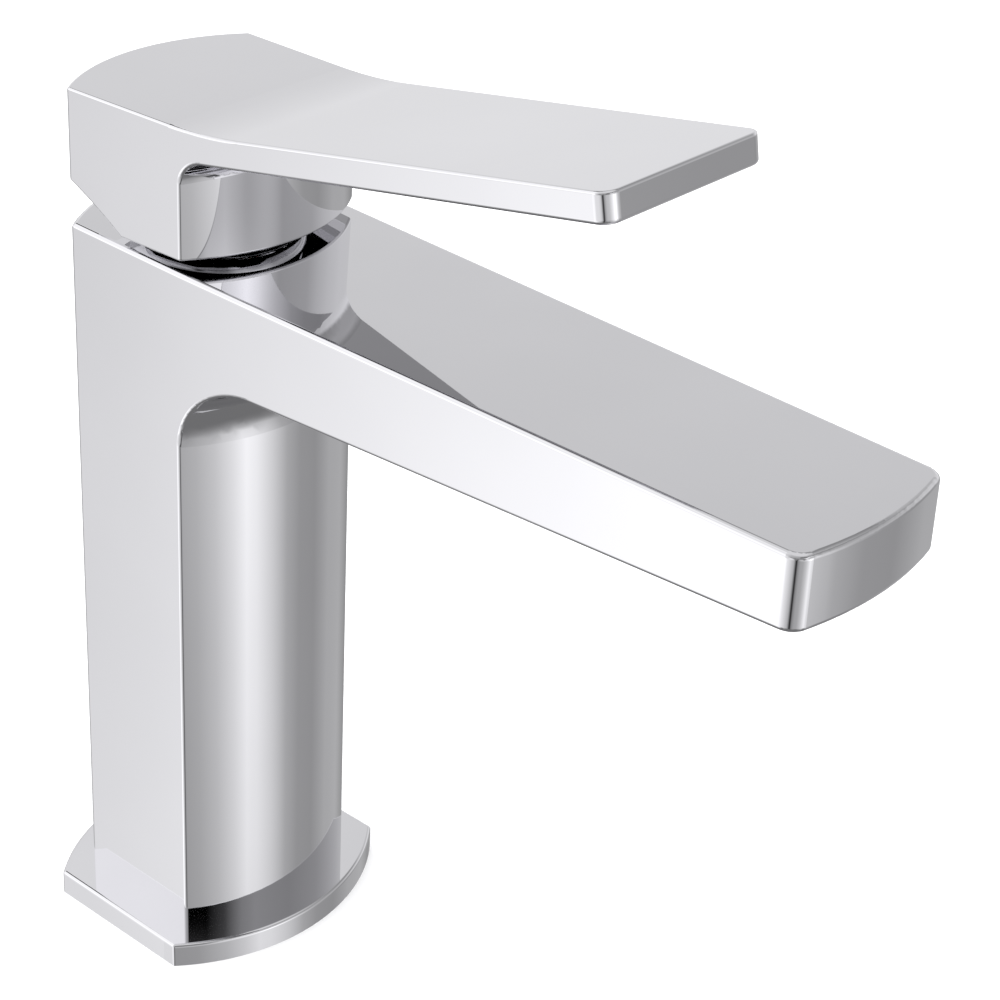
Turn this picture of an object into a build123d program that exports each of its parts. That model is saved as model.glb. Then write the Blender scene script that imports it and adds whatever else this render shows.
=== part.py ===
from build123d import *
import os

os.makedirs("parts", exist_ok=True)

# Single-lever basin mixer. Millimetres, +Z up, spout along +X.
# Origin: on the column's axis, in the plane of the deck. The user's left, the hot side, is -Y.

# ---------------------------------------------------------------- outside of the body
COLUMN_WIDTH = 41.0          # across the two flat sides
COLUMN_CORNER_X = 12.9       # half length of a flat side
END_BOW = 6.8                # how far the bowed ends stand out past the corners
FLANGE_MARGIN = 5.5          # base plate beyond the column, all round
FLANGE_THICK = 4.7
TOP_AT_AXIS = 136.9          # height of the spout's top plane over the axis
TOP_FALL = 0.030             # its fall per mm towards the tip
UNDERSIDE_AT_AXIS = 118.2    # height of the spout's underside, run back to the axis
UNDERSIDE_RISE = 0.0167      # its rise per mm towards the tip
TIP_CORNER_X = 133.7         # where the spout's flat sides end
TIP_HALF_WIDTH = 17.8
TIP_BOW = 2.5
TIP_CORNER_RADIUS = 3.2
THROAT_RADIUS = 14.0         # blend between the column's front and the underside
EDGE_RADIUS = 0.9
THIN_EDGE_RADIUS = 0.6

HALF_WIDTH = COLUMN_WIDTH / 2
END_X = COLUMN_CORNER_X + END_BOW
BEYOND = 60.0                # how far a cut or a trimmed block runs past the metal
SMOOTH_ANGLE = 12.0          # faces that meet at less than this are taken as one

# ---------------------------------------------------------------- foot of the body
SPIGOT_RADIUS = 17.0         # centres the base plate
SPIGOT_CLEARANCE = 0.1
SEAL_WIDTH = 1.6
FLANGE_SEAL_THICK = 1.4
GASKET_MARGIN = 3.0          # base gasket beyond the column, all round
GASKET_THICK = 1.5
INLET_X = -4.0
INLET_Y = 8.5
INLET_RADIUS = 5.0           # M10x1
INLET_WAY_RADIUS = 4.0       # from the end of the thread up to the chamber
STUD_X = 8.5
STUD_RADIUS = 4.0            # M8
THREAD_DEPTH = 13.0

# ---------------------------------------------------------------- waterways
CASTING_WALL = 3.0
CHAMBER_Z = (18.0, 85.0)     # hot and cold chambers
RISER_Y = 10.5               # narrower ways from the chambers to just under the cup
RISER_SIZE = (25.0, 14.0)
RISER_TOP_Z = 98.0
DUCT = ((-4.5, 17.3), 3.8, (88.0, 99.0))      # mixed water under the cup: x, width, z
UPRIGHT = ((14.6, 17.3), 12.0, (91.0, 124.0))  # and up in front of it
SPOUT_WALL = 2.6             # metal over and under the spout's waterway
SPOUT_WAY_HALF_WIDTH = 14.0
SPOUT_WAY_END_X = 104.0
SPOUT_WAY_LOW = (14.6, 121.0)
SPOUT_WAY_SHOULDER = (18.5, 127.0)
SPOUT_WAY_ROOF_X = 25.0
OUTLET_CHAMBER_X = 114.0     # over the aerator
OUTLET_CHAMBER_SIZE = (25.0, 17.0)
OUTLET_CHAMBER_HEIGHT = 2.8
OUTLET_CHAMBER_CORNER = 4.0

# ---------------------------------------------------------------- cartridge, 25 mm
CUP_FLOOR_Z = 103.0
CUP_RADIUS = 12.7
CARTRIDGE_RADIUS = 12.5
BASE_RIM = 1.5               # height of the base's rim, which the housing stands on
BASE_RADIUS = 11.3
HOUSING_BORE = 11.4
HOUSING_SHOULDER_Z = 126.1
NUT_SHOULDER_Z = 127.5       # foot of the nut's thread in the casting
NUT_BOTTOM_Z = 128.0
NUT_HEIGHT = 5.0
NUT_RADIUS = 14.0
NUT_BORE = 11.0
NUT_SLOTS = 6
NUT_SLOT_SIZE = (4.0, 2.4)
NUT_SLOT_RADIUS = 12.5
NUT_SLOT_DEPTH = 1.4
NUT_CHAMFER = 0.5
THREAD_GAP = 0.05
NECK_RADIUS = 10.9
NECK_BORE = 9.5
NECK_TOP_Z = 134.4
LIMIT_RING_BORE = 9.6
LIMIT_RING_HEIGHT = 1.6
LIMIT_TEETH = 24
TOOTH_SIZE = 0.9

TRIM_SEAT_Z = 135.0
TRIM_RADIUS = 16.0
TRIM_CLEARANCE = 0.1
TRIM_BORE = 12.3
TRIM_SKIRT = (13.9, 133.5)   # its inner skirt drops into the nut's thread
TRIM_CROWN = (12.9, 139.0)
TRIM_ARC_MID = (14.8, 138.25)
TRIM_RIM_Z = 136.2
TRIM_CHAMFER = 0.6

HOT_PORT = (3.0, -5.2)
COLD_PORT = (3.0, 5.2)
OUTLET_PORT = (-1.8, 0.0)
PORT_RADIUS = 1.9
PORT_DEPTH = 8.0             # below the cup's floor
OUTLET_PORT_RADIUS = 2.4     # in the fixed disc only
SEAL_OUTER = 2.9
SEAL_HEIGHT = 1.2
FIXED_DISC_Z = 109.0
FIXED_DISC_RADIUS = 11.2
DISC_THICK = 3.0
MOVING_DISC_RADIUS = 9.4
MOVING_DISC_X = -1.7         # its centre when the tap is shut
POCKET_X = -2.95             # hollow under the moving disc, which joins the ports
POCKET_SIZE = (7.1, 13.2)
POCKET_DEPTH = 1.8
POCKET_CORNER = 2.0

CARRIER_RADIUS = 9.2
CARRIER_THICK = 5.4
CARRIER_NECK_RADIUS = 4.6
CARRIER_NECK_HEIGHT = 3.6
BALL_SOCKET_RADIUS = 2.7
BALL_SOCKET_DEPTH = 4.0      # below the ball's centre
BALL_SOCKET_LEAD_IN = (1.5, 0.9)

LIFT_PIVOT_Z = 131.0
GUIDE_Z = (124.4, 136.0)
GUIDE_FLANGE_RADIUS = 11.2
GUIDE_FLANGE_THICK = 1.6
GUIDE_RADIUS = 9.3
GUIDE_SLOT_LENGTH = 12.0
GUIDE_SLOT_CLEARANCE = 0.2
RAIL_Y = 6.8                 # two rails under the guide, which the carrier slides between
RAIL_SIZE = (11.0, 3.6)
RAIL_DEPTH = 3.5
PIN_RADIUS = 1.75
PIN_HALF_LENGTH = 8.6
PIN_CHAMFER = 0.3
PIN_FIT = 0.02
PIN_RUNNING_FIT = 0.05

# ---------------------------------------------------------------- spindle
SHANK = 7.0                  # square
SHANK_Z = (126.0, 156.0)
SHANK_CHAMFER = 0.6
SPINDLE_NECK_RADIUS = 2.2
BALL_Z = 122.0
BALL_RADIUS = 2.6

# ---------------------------------------------------------------- lever
HUB_BOTTOM_Z = 138.3
LEVER_TOP_Z = 161.2
HUB_CORNER_X = 13.2
HUB_END_X = 19.8
BLADE_TOP_AT_AXIS = 158.0    # the blade's top plane, run back to the axis
BLADE_UNDER_AT_AXIS = 153.0  # the blade's underside, run back to the axis
BLADE_RISE = 0.1717          # their rise per mm
BLADE_TIP_X = 97.1
BLADE_LEAN = 0.85            # the end face is square to the blade
BLADE_BEND_RADIUS = 90.0
LEVER_TAPER = 0.0228         # each side draws in by this much per mm
NOTCH_RADIUS = 4.2
LEVER_TIP_RADIUS = 2.7
LEVER_CORNER_RADIUS = 0.8    # upright corners, and on along the blade's lower edges
LEVER_EDGE_RADIUS = 0.5
HEEL_LOW = (-0.9, 138.3)     # the heel is cut away behind these three points
HEEL_MID = (-6.9, 141.9)
HEEL_HIGH = (-12.9, 144.9)
HEEL_SLOPE = 0.42            # its rise per mm behind the last point
HUB_CAVITY_RADIUS = 15.5
HUB_CAVITY_TOP_Z = 156.5
SOCKET_BOSS_RADIUS = 6.5
SOCKET_BOSS_Z = 140.5
SOCKET_CLEARANCE = 0.1
SOCKET_TOP_GAP = 0.3
RIB_BOTTOM_Z = 147.5
RIB_WIDTH = 9.0
SCREW_Z = 152.0
SCREW_RADIUS = 2.5           # M5
SCREW_LENGTH = 7.0
SCREW_FIT = 0.02
KEY_SIZE = 2.5               # hexagon key, across flats
KEY_DEPTH = 3.0
PLUG_RADIUS = 3.0
PLUG_DEPTH = 2.0
PLUG_PIN_LENGTH = 2.5
PLUG_EDGE_RADIUS = 0.25

BEND_X = (LEVER_TOP_Z - BLADE_TOP_AT_AXIS) / BLADE_RISE

# ---------------------------------------------------------------- aerator
OUTLET_X = 118.0
AERATOR_RADIUS = 10.75       # M21.5x1, recessed
AERATOR_Z = (120.5, 127.9)
AERATOR_BORE = 9.0
AERATOR_LIP = 0.8            # thickness and width of the lip that holds the screen
KEY_SLOTS = 4
KEY_SLOT_SIZE = (1.6, 1.8)
KEY_SLOT_DEPTH = 1.2
WASHER_THICK = 1.0
WASHER_BORE = 8.0
MESH_THICK = 0.6
MESH_PITCH = 1.9
MESH_OPENING = 1.2
MESH_COUNT = 7
CORE_TOP_Z = 125.7
CORE_WALL = 1.2
JET_RADIUS = 0.55
JET_RINGS = ((5.8, 16), (3.6, 8))   # radius and number of holes
REGULATOR_OUTER = 7.4
REGULATOR_BORE = 5.0
REGULATOR_HEIGHT = 1.2


def top_z(x):
    """Height of the body's top plane at x."""
    return TOP_AT_AXIS - TOP_FALL * x


def underside_z(x):
    """Height of the spout's underside at x."""
    return UNDERSIDE_AT_AXIS + UNDERSIDE_RISE * x


def blade_top_z(x):
    """Height of the blade's top plane at x."""
    return BLADE_TOP_AT_AXIS + BLADE_RISE * x


def blade_under_z(x):
    """Height of the blade's underside at x."""
    return BLADE_UNDER_AT_AXIS + BLADE_RISE * x


def lever_half_width(x):
    """Half the lever's width at x."""
    return HALF_WIDTH - LEVER_TAPER * (x + COLUMN_CORNER_X)


def barrel(grow=0.0):
    """The column's outline: two flat sides and two bowed ends, grown evenly."""
    with BuildSketch() as outline:
        with BuildLine():
            ThreePointArc((COLUMN_CORNER_X, -HALF_WIDTH), (END_X, 0), (COLUMN_CORNER_X, HALF_WIDTH))
            Line((COLUMN_CORNER_X, HALF_WIDTH), (-COLUMN_CORNER_X, HALF_WIDTH))
            ThreePointArc((-COLUMN_CORNER_X, HALF_WIDTH), (-END_X, 0), (-COLUMN_CORNER_X, -HALF_WIDTH))
            Line((-COLUMN_CORNER_X, -HALF_WIDTH), (COLUMN_CORNER_X, -HALF_WIDTH))
        make_face()
        if grow:
            offset(amount=grow, kind=Kind.INTERSECTION)
    return outline.sketch


def is_sharp(edge, solid):
    """True where the two faces beside an edge meet at an angle, not smoothly."""
    sides = [face for face in solid.faces() if any(edge.is_same(other) for other in face.edges())]
    if len(sides) != 2:
        return False
    middle = edge.position_at(0.5)
    return sides[0].normal_at(middle).get_angle(sides[1].normal_at(middle)) > SMOOTH_ANGLE


def sharp_edges(solid, above):
    """The sharp edges of a solid whose middles are higher than the given height."""
    return [edge for edge in solid.edges() if edge.center().Z > above and is_sharp(edge, solid)]


def tube(name, outer, inner, low, high, centre=(0.0, 0.0)):
    """A plain ring or sleeve on a vertical axis, exported under its name."""
    with BuildPart() as ring:
        with BuildSketch(Plane.XY.offset(low)):
            with Locations(centre):
                Circle(outer)
                Circle(inner, mode=Mode.SUBTRACT)
        extrude(amount=high - low)
    ring.part.label = name
    export_step(ring.part, f"parts/{name}.step")


# ---------------------------------------------------------------- body casting
# the spout alone, which the casting takes in
with BuildPart() as spout:
    with BuildSketch(Plane.XZ):
        with BuildLine():
            Polyline(
                (0, top_z(0)),
                (TIP_CORNER_X + BEYOND, top_z(TIP_CORNER_X + BEYOND)),
                (TIP_CORNER_X + BEYOND, underside_z(TIP_CORNER_X + BEYOND)),
                (0, underside_z(0)),
                close=True,
            )
        make_face()
    extrude(amount=COLUMN_WIDTH, both=True)
    with BuildSketch():
        with BuildLine():
            Polyline(
                (TIP_CORNER_X, -TIP_HALF_WIDTH),
                (COLUMN_CORNER_X, -HALF_WIDTH),
                (0, -HALF_WIDTH),
                (0, HALF_WIDTH),
                (COLUMN_CORNER_X, HALF_WIDTH),
                (TIP_CORNER_X, TIP_HALF_WIDTH),
            )
            ThreePointArc(
                (TIP_CORNER_X, TIP_HALF_WIDTH),
                (TIP_CORNER_X + TIP_BOW, 0),
                (TIP_CORNER_X, -TIP_HALF_WIDTH),
            )
        make_face()
    extrude(amount=TOP_AT_AXIS + BEYOND, mode=Mode.INTERSECT)
    tip_corners = edges().filter_by(Axis.Z).filter_by_position(Axis.X, TIP_CORNER_X - 1, TIP_CORNER_X + 1)
    fillet(tip_corners, radius=TIP_CORNER_RADIUS)

with BuildPart() as body_casting:
    with BuildSketch(Plane.XZ):
        with BuildLine():
            Polyline(
                (-COLUMN_WIDTH, FLANGE_THICK),
                (COLUMN_WIDTH, FLANGE_THICK),
                (COLUMN_WIDTH, top_z(COLUMN_WIDTH)),
                (-COLUMN_WIDTH, top_z(-COLUMN_WIDTH)),
                close=True,
            )
        make_face()
    extrude(amount=COLUMN_WIDTH, both=True)
    with BuildSketch():
        add(barrel())
    extrude(amount=TOP_AT_AXIS + BEYOND, mode=Mode.INTERSECT)
    add(spout.part)
    throat_z = underside_z(END_X)
    throat = (
        edges()
        .filter_by_position(Axis.X, COLUMN_CORNER_X, END_X + 1)
        .filter_by_position(Axis.Z, throat_z - 1, throat_z + 1)
        .filter_by(lambda edge: edge.length > COLUMN_WIDTH)
    )
    fillet(throat, radius=THROAT_RADIUS)
    fillet(sharp_edges(body_casting.part, FLANGE_THICK + 1), radius=EDGE_RADIUS)

    # spigot that centres the base plate
    with BuildSketch():
        Circle(SPIGOT_RADIUS)
    extrude(amount=FLANGE_THICK)

    # cartridge cup, nut thread and trim ring seat, all open at the top
    trim_step = (TRIM_SEAT_Z, TRIM_RADIUS + TRIM_CLEARANCE)
    for step_z, step_radius in ((CUP_FLOOR_Z, CUP_RADIUS), (NUT_SHOULDER_Z, NUT_RADIUS), trim_step):
        with BuildSketch(Plane.XY.offset(step_z)):
            Circle(step_radius)
        extrude(amount=BEYOND, mode=Mode.SUBTRACT)

    # hot and cold chambers either side of a middle wall, then the risers
    with BuildSketch(Plane.XY.offset(CHAMBER_Z[0])):
        add(barrel(-CASTING_WALL))
        Rectangle(2 * COLUMN_WIDTH, CASTING_WALL, mode=Mode.SUBTRACT)
    extrude(amount=CHAMBER_Z[1] - CHAMBER_Z[0], mode=Mode.SUBTRACT)
    with BuildSketch(Plane.XY.offset(CHAMBER_Z[1])):
        with Locations((0, RISER_Y), (0, -RISER_Y)):
            Rectangle(*RISER_SIZE)
    extrude(amount=RISER_TOP_Z - CHAMBER_Z[1], mode=Mode.SUBTRACT)

    # mixed water: between the risers, up in front of the cup, then along the spout
    for (x_low, x_high), width, (z_low, z_high) in (DUCT, UPRIGHT):
        with BuildSketch(Plane.XY.offset(z_low)):
            with Locations(((x_low + x_high) / 2, 0)):
                Rectangle(x_high - x_low, width)
        extrude(amount=z_high - z_low, mode=Mode.SUBTRACT)
    with BuildSketch(Plane.XZ):
        with BuildLine():
            Polyline(
                SPOUT_WAY_LOW,
                (SPOUT_WAY_END_X, underside_z(SPOUT_WAY_END_X) + SPOUT_WALL),
                (SPOUT_WAY_END_X, top_z(SPOUT_WAY_END_X) - SPOUT_WALL),
                (SPOUT_WAY_ROOF_X, top_z(SPOUT_WAY_ROOF_X) - SPOUT_WALL),
                SPOUT_WAY_SHOULDER,
                (SPOUT_WAY_LOW[0], SPOUT_WAY_SHOULDER[1]),
                close=True,
            )
        make_face()
    extrude(amount=SPOUT_WAY_HALF_WIDTH, both=True, mode=Mode.SUBTRACT)
    with BuildSketch(Plane.XY.offset(AERATOR_Z[1])):
        with Locations((OUTLET_CHAMBER_X, 0)):
            RectangleRounded(*OUTLET_CHAMBER_SIZE, OUTLET_CHAMBER_CORNER)
    extrude(amount=OUTLET_CHAMBER_HEIGHT, mode=Mode.SUBTRACT)

    # aerator socket, open below
    with BuildSketch(Plane.XY.offset(AERATOR_Z[1])):
        with Locations((OUTLET_X, 0)):
            Circle(AERATOR_RADIUS)
    extrude(amount=-BEYOND, mode=Mode.SUBTRACT)

    # ports in the cup's floor
    with BuildSketch(Plane.XY.offset(CUP_FLOOR_Z)):
        with Locations(HOT_PORT, COLD_PORT, OUTLET_PORT):
            Circle(PORT_RADIUS)
    extrude(amount=-PORT_DEPTH, mode=Mode.SUBTRACT)

    # threaded holes in the foot, and the ways on from the inlets
    with BuildSketch():
        with Locations((INLET_X, INLET_Y), (INLET_X, -INLET_Y)):
            Circle(INLET_RADIUS)
        with Locations((STUD_X, 0)):
            Circle(STUD_RADIUS)
    extrude(amount=THREAD_DEPTH, mode=Mode.SUBTRACT)
    with BuildSketch(Plane.XY.offset(THREAD_DEPTH)):
        with Locations((INLET_X, INLET_Y), (INLET_X, -INLET_Y)):
            Circle(INLET_WAY_RADIUS)
    extrude(amount=CHAMBER_Z[0] - THREAD_DEPTH + 1, mode=Mode.SUBTRACT)
body_casting.part.label = "body_casting"
export_step(body_casting.part, "parts/body_casting.step")

# ---------------------------------------------------------------- base plate and its seals
with BuildPart() as base_flange:
    with BuildSketch():
        add(barrel(FLANGE_MARGIN))
    extrude(amount=FLANGE_THICK)
    fillet(sharp_edges(base_flange.part, FLANGE_THICK / 4), radius=THIN_EDGE_RADIUS)
    with BuildSketch():
        Circle(SPIGOT_RADIUS + SPIGOT_CLEARANCE)
    extrude(amount=FLANGE_THICK, mode=Mode.SUBTRACT)
    with BuildSketch(Plane.XY.offset(FLANGE_THICK)):
        Circle(SPIGOT_RADIUS + SEAL_WIDTH)
    extrude(amount=-FLANGE_SEAL_THICK, mode=Mode.SUBTRACT)
    with BuildSketch():
        add(barrel(GASKET_MARGIN))
        Circle(SPIGOT_RADIUS + SEAL_WIDTH, mode=Mode.SUBTRACT)
    extrude(amount=GASKET_THICK, mode=Mode.SUBTRACT)
base_flange.part.label = "base_flange"
export_step(base_flange.part, "parts/base_flange.step")

with BuildPart() as base_gasket:
    with BuildSketch():
        add(barrel(GASKET_MARGIN))
        Circle(SPIGOT_RADIUS + SEAL_WIDTH, mode=Mode.SUBTRACT)
    extrude(amount=GASKET_THICK)
base_gasket.part.label = "base_gasket"
export_step(base_gasket.part, "parts/base_gasket.step")

tube("flange_seal", SPIGOT_RADIUS + SEAL_WIDTH, SPIGOT_RADIUS, FLANGE_THICK - FLANGE_SEAL_THICK, FLANGE_THICK)

# ---------------------------------------------------------------- cartridge, fixed pieces
with BuildPart() as cartridge_base:
    with BuildSketch(Plane.XY.offset(CUP_FLOOR_Z)):
        Circle(CARTRIDGE_RADIUS)
    extrude(amount=BASE_RIM)
    with BuildSketch(Plane.XY.offset(CUP_FLOOR_Z + BASE_RIM)):
        Circle(BASE_RADIUS)
    extrude(amount=FIXED_DISC_Z - CUP_FLOOR_Z - BASE_RIM)
    with BuildSketch(Plane.XY.offset(CUP_FLOOR_Z)):
        with Locations(HOT_PORT, COLD_PORT, OUTLET_PORT):
            Circle(PORT_RADIUS)
    extrude(amount=FIXED_DISC_Z - CUP_FLOOR_Z, mode=Mode.SUBTRACT)
    with BuildSketch(Plane.XY.offset(CUP_FLOOR_Z)):
        with Locations(HOT_PORT, COLD_PORT, OUTLET_PORT):
            Circle(SEAL_OUTER)
    extrude(amount=SEAL_HEIGHT, mode=Mode.SUBTRACT)
cartridge_base.part.label = "cartridge_base"
export_step(cartridge_base.part, "parts/cartridge_base.step")

PORT_SEALS = {"hot_port_seal": HOT_PORT, "cold_port_seal": COLD_PORT, "outlet_port_seal": OUTLET_PORT}
for seal_name, port in PORT_SEALS.items():
    tube(seal_name, SEAL_OUTER, PORT_RADIUS, CUP_FLOOR_Z, CUP_FLOOR_Z + SEAL_HEIGHT, port)

with BuildPart() as fixed_disc:
    with BuildSketch(Plane.XY.offset(FIXED_DISC_Z)):
        Circle(FIXED_DISC_RADIUS)
        with Locations(HOT_PORT, COLD_PORT):
            Circle(PORT_RADIUS, mode=Mode.SUBTRACT)
        with Locations(OUTLET_PORT):
            Circle(OUTLET_PORT_RADIUS, mode=Mode.SUBTRACT)
    extrude(amount=DISC_THICK)
fixed_disc.part.label = "fixed_disc"
export_step(fixed_disc.part, "parts/fixed_disc.step")

with BuildPart() as cartridge_housing:
    with BuildSketch(Plane.XY.offset(CUP_FLOOR_Z + BASE_RIM)):
        Circle(CARTRIDGE_RADIUS)
        Circle(HOUSING_BORE, mode=Mode.SUBTRACT)
    extrude(amount=HOUSING_SHOULDER_Z - CUP_FLOOR_Z - BASE_RIM)
    with BuildSketch(Plane.XY.offset(HOUSING_SHOULDER_Z)):
        Circle(CARTRIDGE_RADIUS)
        Circle(NECK_BORE, mode=Mode.SUBTRACT)
    extrude(amount=NUT_BOTTOM_Z - HOUSING_SHOULDER_Z)
    with BuildSketch(Plane.XY.offset(NUT_BOTTOM_Z)):
        Circle(NECK_RADIUS)
        Circle(NECK_BORE, mode=Mode.SUBTRACT)
    extrude(amount=NECK_TOP_Z - NUT_BOTTOM_Z)
cartridge_housing.part.label = "cartridge_housing"
export_step(cartridge_housing.part, "parts/cartridge_housing.step")

with BuildPart() as cartridge_nut:
    with BuildSketch(Plane.XY.offset(NUT_BOTTOM_Z)):
        Circle(NUT_RADIUS - THREAD_GAP)
        Circle(NUT_BORE, mode=Mode.SUBTRACT)
    extrude(amount=NUT_HEIGHT)
    with BuildSketch(Plane.XY.offset(NUT_BOTTOM_Z + NUT_HEIGHT)):
        with PolarLocations(NUT_SLOT_RADIUS, NUT_SLOTS):
            Rectangle(*NUT_SLOT_SIZE)
    extrude(amount=-NUT_SLOT_DEPTH, mode=Mode.SUBTRACT)
    lower_rims = edges().filter_by(GeomType.CIRCLE).group_by(Axis.Z)[0]
    chamfer(lower_rims.sort_by(SortBy.RADIUS)[-1], NUT_CHAMFER)
cartridge_nut.part.label = "cartridge_nut"
export_step(cartridge_nut.part, "parts/cartridge_nut.step")

with BuildPart() as limit_ring:
    with BuildSketch(Plane.XY.offset(NECK_TOP_Z)):
        Circle(NECK_RADIUS)
        Circle(LIMIT_RING_BORE, mode=Mode.SUBTRACT)
        with PolarLocations(NECK_RADIUS, LIMIT_TEETH):
            Rectangle(TOOTH_SIZE, TOOTH_SIZE, mode=Mode.SUBTRACT)
    extrude(amount=LIMIT_RING_HEIGHT)
limit_ring.part.label = "limit_ring"
export_step(limit_ring.part, "parts/limit_ring.step")

with BuildPart() as trim_ring:
    with BuildSketch(Plane.XZ):
        with BuildLine():
            Polyline(
                TRIM_SKIRT,
                (TRIM_BORE, TRIM_SKIRT[1]),
                (TRIM_BORE, TRIM_CROWN[1] - TRIM_CHAMFER),
                TRIM_CROWN,
            )
            ThreePointArc(TRIM_CROWN, TRIM_ARC_MID, (TRIM_RADIUS, TRIM_RIM_Z))
            Polyline(
                (TRIM_RADIUS, TRIM_RIM_Z),
                (TRIM_RADIUS, TRIM_SEAT_Z),
                (TRIM_SKIRT[0], TRIM_SEAT_Z),
                TRIM_SKIRT,
            )
        make_face()
    revolve(axis=Axis.Z)
trim_ring.part.label = "trim_ring"
export_step(trim_ring.part, "parts/trim_ring.step")

# ---------------------------------------------------------------- cartridge, turning and sliding pieces
with BuildPart() as spindle_guide:
    with BuildSketch(Plane.XY.offset(GUIDE_Z[0])):
        Circle(GUIDE_FLANGE_RADIUS)
    extrude(amount=GUIDE_FLANGE_THICK)
    with BuildSketch(Plane.XY.offset(GUIDE_Z[0] + GUIDE_FLANGE_THICK)):
        Circle(GUIDE_RADIUS)
    extrude(amount=GUIDE_Z[1] - GUIDE_Z[0] - GUIDE_FLANGE_THICK)
    with BuildSketch(Plane.XY.offset(GUIDE_Z[0])):
        Rectangle(GUIDE_SLOT_LENGTH, SHANK + GUIDE_SLOT_CLEARANCE)
    extrude(amount=GUIDE_Z[1] - GUIDE_Z[0], mode=Mode.SUBTRACT)
    with BuildSketch(Plane.XY.offset(GUIDE_Z[0])):
        with Locations((0, RAIL_Y), (0, -RAIL_Y)):
            Rectangle(*RAIL_SIZE)
    extrude(amount=-RAIL_DEPTH)
    with BuildSketch(Plane.XZ):
        with Locations((0, LIFT_PIVOT_Z)):
            Circle(PIN_RADIUS + PIN_FIT)
    extrude(amount=GUIDE_FLANGE_RADIUS, both=True, mode=Mode.SUBTRACT)
spindle_guide.part.label = "spindle_guide"
export_step(spindle_guide.part, "parts/spindle_guide.step")

with BuildPart() as pivot_pin:
    with BuildSketch(Plane.XZ):
        with Locations((0, LIFT_PIVOT_Z)):
            Circle(PIN_RADIUS)
    extrude(amount=PIN_HALF_LENGTH, both=True)
    chamfer(edges().filter_by(GeomType.CIRCLE), PIN_CHAMFER)
pivot_pin.part.label = "pivot_pin"
export_step(pivot_pin.part, "parts/pivot_pin.step")

CARRIER_Z = FIXED_DISC_Z + 2 * DISC_THICK
with BuildPart() as disc_carrier:
    with BuildSketch(Plane.XY.offset(CARRIER_Z)):
        with Locations((MOVING_DISC_X, 0)):
            Circle(CARRIER_RADIUS)
    extrude(amount=CARRIER_THICK)
    with BuildSketch(Plane.XY.offset(CARRIER_Z + CARRIER_THICK)):
        Circle(CARRIER_NECK_RADIUS)
    extrude(amount=CARRIER_NECK_HEIGHT)
    with BuildSketch(Plane.XY.offset(BALL_Z - BALL_SOCKET_DEPTH)):
        Circle(BALL_SOCKET_RADIUS)
    extrude(amount=BEYOND, mode=Mode.SUBTRACT)
    upper_rims = edges().filter_by(GeomType.CIRCLE).group_by(Axis.Z)[-1]
    chamfer(upper_rims.sort_by(SortBy.RADIUS)[0], *BALL_SOCKET_LEAD_IN)
disc_carrier.part.label = "disc_carrier"
export_step(disc_carrier.part, "parts/disc_carrier.step")

with BuildPart() as moving_disc:
    with BuildSketch(Plane.XY.offset(FIXED_DISC_Z + DISC_THICK)):
        with Locations((MOVING_DISC_X, 0)):
            Circle(MOVING_DISC_RADIUS)
    extrude(amount=DISC_THICK)
    with BuildSketch(Plane.XY.offset(FIXED_DISC_Z + DISC_THICK)):
        with Locations((POCKET_X, 0)):
            RectangleRounded(*POCKET_SIZE, POCKET_CORNER)
    extrude(amount=POCKET_DEPTH, mode=Mode.SUBTRACT)
moving_disc.part.label = "moving_disc"
export_step(moving_disc.part, "parts/moving_disc.step")

# ---------------------------------------------------------------- spindle
with BuildPart() as spindle:
    with BuildSketch(Plane.XY.offset(SHANK_Z[0])):
        Rectangle(SHANK, SHANK)
    extrude(amount=SHANK_Z[1] - SHANK_Z[0])
    chamfer(faces().sort_by(Axis.Z)[-1].edges(), SHANK_CHAMFER)
    with BuildSketch(Plane.XY.offset(BALL_Z)):
        Circle(SPINDLE_NECK_RADIUS)
    extrude(amount=SHANK_Z[0] - BALL_Z)
    with Locations((0, 0, BALL_Z)):
        Sphere(BALL_RADIUS)
    with BuildSketch(Plane.XZ):
        with Locations((0, LIFT_PIVOT_Z)):
            Circle(PIN_RADIUS + PIN_RUNNING_FIT)
    extrude(amount=SHANK, both=True, mode=Mode.SUBTRACT)
spindle.part.label = "spindle"
export_step(spindle.part, "parts/spindle.step")

# ---------------------------------------------------------------- lever
# the blade alone, which the handle takes in
with BuildPart() as lever_blade:
    with BuildSketch(Plane.XZ) as lever_profile:
        with BuildLine():
            Polyline(
                (0, blade_under_z(0)),
                (0, LEVER_TOP_Z),
                (BEND_X, LEVER_TOP_Z),
                (BLADE_TIP_X, blade_top_z(BLADE_TIP_X)),
                (BLADE_TIP_X + BLADE_LEAN, blade_under_z(BLADE_TIP_X + BLADE_LEAN)),
                close=True,
            )
        make_face()
        bend = lever_profile.vertices().filter_by_position(Axis.X, BEND_X - 1, BEND_X + 1)
        fillet(bend, radius=BLADE_BEND_RADIUS)
    extrude(amount=COLUMN_WIDTH, both=True)
    with BuildSketch():
        Polygon(
            (0, -lever_half_width(0)),
            (BLADE_TIP_X + BEYOND, -lever_half_width(BLADE_TIP_X + BEYOND)),
            (BLADE_TIP_X + BEYOND, lever_half_width(BLADE_TIP_X + BEYOND)),
            (0, lever_half_width(0)),
            align=None,
        )
    extrude(amount=LEVER_TOP_Z + BEYOND, mode=Mode.INTERSECT)
    tip_sides = faces().sort_by(Axis.X)[-1].edges().filter_by(lambda edge: abs(edge.tangent_at(0.5).Z) > 0.9)
    fillet(tip_sides, radius=LEVER_TIP_RADIUS)

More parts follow.
